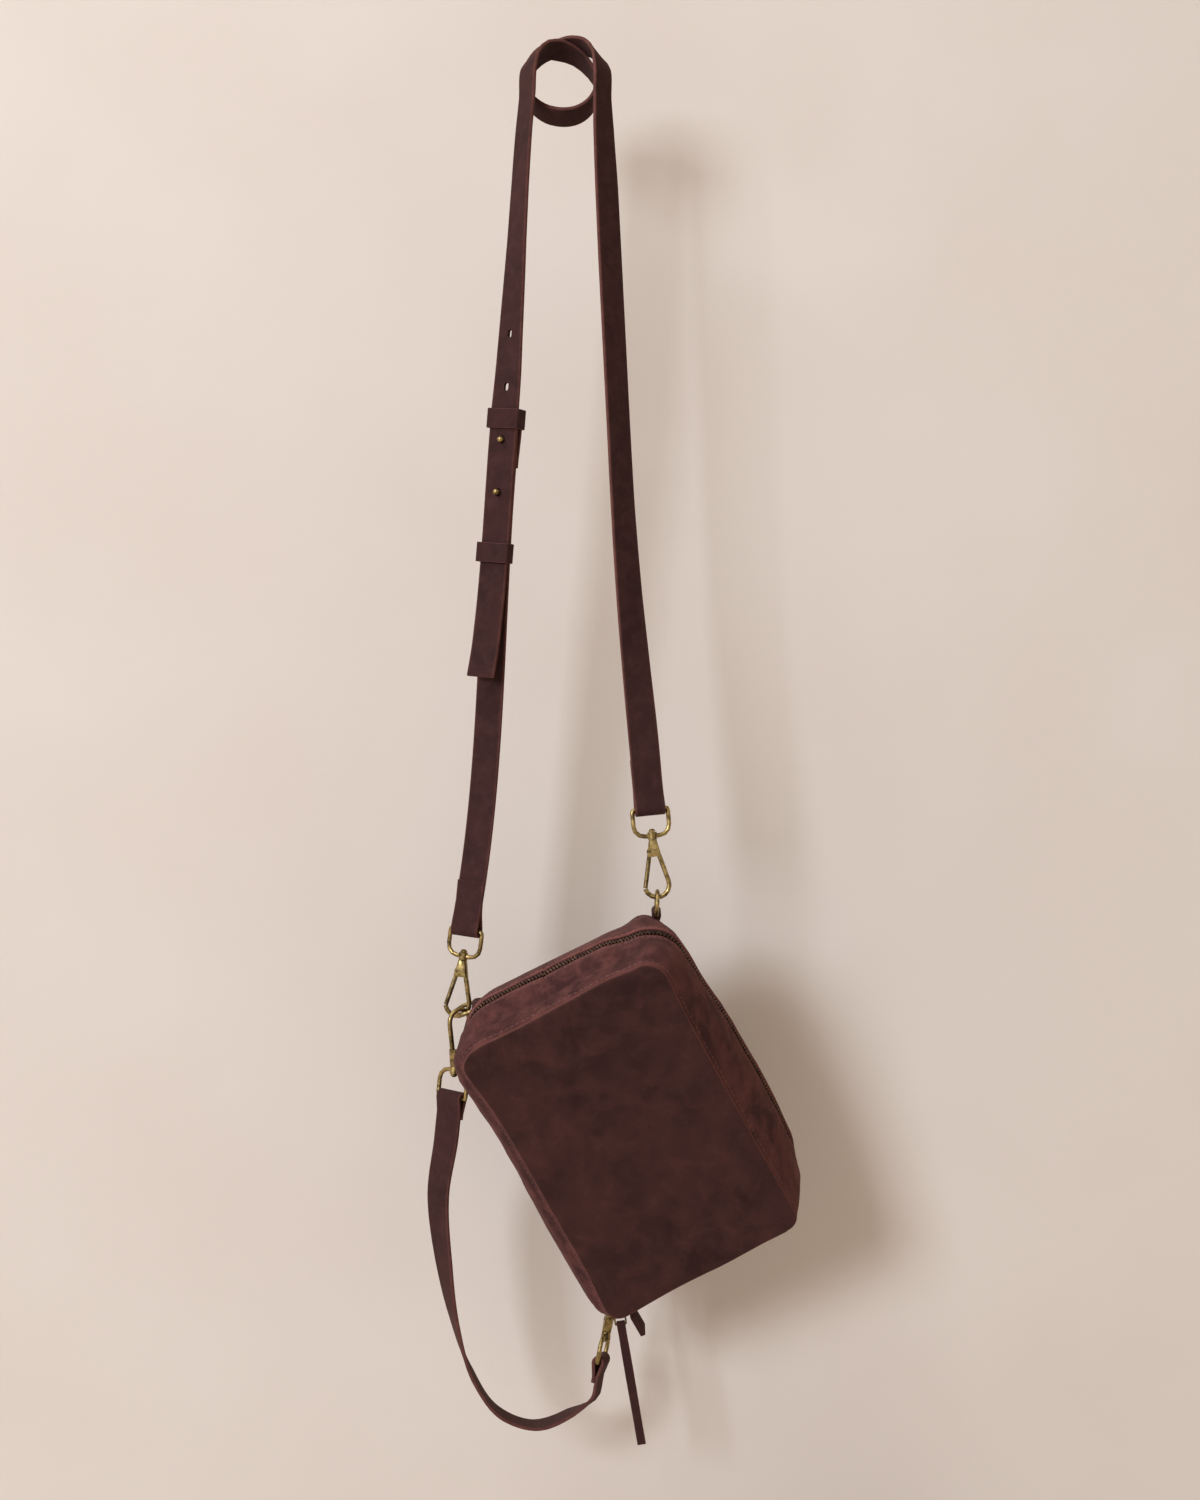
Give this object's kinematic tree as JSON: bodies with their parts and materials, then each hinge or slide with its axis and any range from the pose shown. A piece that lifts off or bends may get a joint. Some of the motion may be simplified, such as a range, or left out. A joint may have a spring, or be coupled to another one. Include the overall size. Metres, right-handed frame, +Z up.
{
  "type": "messenger bag",
  "caption": "Small boxy suede crossbody bag with a wrap-round zip, hanging by its adjustable snap-hook strap from a wall peg, with a clip-on wrist strap.",
  "frame": {"origin": "centre of the strap's turn round the wall peg, where the peg's axis passes through the strap's middle plane", "axes": "+Z up, +X to the right as seen from the room, +Y towards the wall the peg stands on"},
  "size_m": [0.249, 0.1494, 0.9534],
  "materials": {
    "suede_leather": "suede nap",
    "strap_leather": "suede nap with pink-brown cut edges",
    "antique_brass": "antique, darkened in the recesses",
    "zip_tape": "woven",
    "zip_teeth": "antique",
    "lining_fabric": "plain weave"
  },
  "bodies": {
    "strap": {"strap_long": "strap_leather", "strap_short": "strap_leather", "strap_studs": "antique_brass", "fixed_keeper": "strap_leather", "right_clip_ring": "antique_brass", "left_clip_ring": "antique_brass"},
    "right_hook": {"right_clip_hook": "antique_brass", "right_clip_pin": "antique_brass", "right_clip_spring": "antique_brass"},
    "right_gate": {"right_clip_gate": "antique_brass"},
    "left_hook": {"left_clip_hook": "antique_brass", "left_clip_pin": "antique_brass", "left_clip_spring": "antique_brass"},
    "left_gate": {"left_clip_gate": "antique_brass"},
    "keeper": {"sliding_keeper": "strap_leather"},
    "bag_back": {"back_panel": "suede_leather", "back_gusset": "suede_leather", "base_fold": "suede_leather", "zip_tape_back": "zip_tape", "zip_teeth_back": "zip_teeth", "zip_tail": "zip_tape", "zip_tail_teeth": "zip_teeth", "zip_end_tab": "strap_leather", "lining_back": "lining_fabric", "inner_pocket": "lining_fabric", "d_ring_right": "antique_brass", "d_ring_left": "antique_brass", "d_ring_low": "antique_brass", "tab_right": "strap_leather", "tab_left": "strap_leather", "tab_low": "strap_leather"},
    "bag_front": {"front_panel": "suede_leather", "front_gusset": "suede_leather", "zip_tape_front": "zip_tape", "zip_teeth_front": "zip_teeth", "lining_front": "lining_fabric"},
    "slider": {"zip_slider": "antique_brass"},
    "pull": {"zip_puller": "antique_brass", "zip_pull": "strap_leather"},
    "wrist": {"wrist_strap": "strap_leather", "wrist_upper_ring": "antique_brass", "wrist_lower_ring": "antique_brass"},
    "wrist_upper_snap": {"wrist_upper_hook": "antique_brass", "wrist_upper_pin": "antique_brass", "wrist_upper_spring": "antique_brass"},
    "wrist_upper_arm": {"wrist_upper_gate": "antique_brass"},
    "wrist_lower_snap": {"wrist_lower_hook": "antique_brass", "wrist_lower_pin": "antique_brass", "wrist_lower_spring": "antique_brass"},
    "wrist_lower_arm": {"wrist_lower_gate": "antique_brass"}
  },
  "joints": [
    {"name": "right_swivel", "type": "hinge", "parent": "strap", "child": "right_hook", "pos_m": [0.05799, -0.008, -0.50692], "axis": [0.094, 0, -0.9956], "range_deg": [-15, 15]},
    {"name": "right_gate_hinge", "type": "hinge", "parent": "right_hook", "child": "right_gate", "pos_m": [0.05637, -0.008, -0.51742], "axis": [0, -1, 0], "range_deg": [0, 15], "stiffness_Nm_per_rad": 0.02, "springref_deg": -8.59},
    {"name": "left_swivel", "type": "hinge", "parent": "strap", "child": "left_hook", "pos_m": [-0.06875, 0.01408, -0.58883], "axis": [-0.125, 0.06, -0.9903], "range_deg": [-8, 3]},
    {"name": "left_gate_hinge", "type": "hinge", "parent": "left_hook", "child": "left_gate", "pos_m": [-0.07259, 0.01509, -0.59868], "axis": [-0.1575, -0.9867, -0.0399], "range_deg": [0, 15], "stiffness_Nm_per_rad": 0.02, "springref_deg": -8.59},
    {"name": "keeper_slide", "type": "slide", "parent": "strap", "child": "keeper", "axis": [0.0818, -0.0488, 0.9955], "range_m": [-0.036, 0.027]},
    {"name": "bag_swing", "type": "hinge", "parent": "strap", "child": "bag_back", "pos_m": [0.06111, -0.00581, -0.55122], "axis": [0.8658, -0.1424, 0.4798], "range_deg": [-12, 9]},
    {"name": "bag_open", "type": "hinge", "parent": "bag_back", "child": "bag_front", "pos_m": [0.09624, 0.0253, -0.78249], "axis": [0.887, -0.135, 0.4416], "range_deg": [0, 45]},
    {"name": "zip_run", "type": "slide", "parent": "bag_back", "child": "slider", "axis": [-0.4617, -0.2593, 0.8483], "range_m": [0, 0.2]},
    {"name": "pull_swing", "type": "hinge", "parent": "slider", "child": "pull", "pos_m": [0.03528, 0.04548, -0.83072], "axis": [0, 0.9563, 0.2924], "range_deg": [-8, 28]},
    {"name": "wrist_swing", "type": "hinge", "parent": "bag_back", "child": "wrist", "pos_m": [-0.07051, 0.00749, -0.62741], "axis": [0.463, 0.2497, -0.8505], "range_deg": [-4, 8]},
    {"name": "wrist_upper_swivel", "type": "hinge", "parent": "wrist", "child": "wrist_upper_snap", "pos_m": [-0.07426, 0.00674, -0.66452], "axis": [0.1005, 0.0201, 0.9947], "range_deg": [-8, 2]},
    {"name": "wrist_upper_gate_hinge", "type": "hinge", "parent": "wrist_upper_snap", "child": "wrist_upper_arm", "pos_m": [-0.07131, 0.00869, -0.6545], "axis": [0.6702, -0.7403, -0.0527], "range_deg": [0, 15], "stiffness_Nm_per_rad": 0.02, "springref_deg": -8.59},
    {"name": "wrist_lower_swivel", "type": "hinge", "parent": "wrist", "child": "wrist_lower_snap", "pos_m": [0.02738, 0.06223, -0.85684], "axis": [0.1901, 0.05, 0.9805], "range_deg": [-15, 15]},
    {"name": "wrist_lower_gate_hinge", "type": "hinge", "parent": "wrist_lower_snap", "child": "wrist_lower_arm", "pos_m": [0.02906, 0.06533, -0.84682], "axis": [0.9761, 0.0976, -0.1942], "range_deg": [0, 15], "stiffness_Nm_per_rad": 0.02, "springref_deg": -8.59}
  ]
}
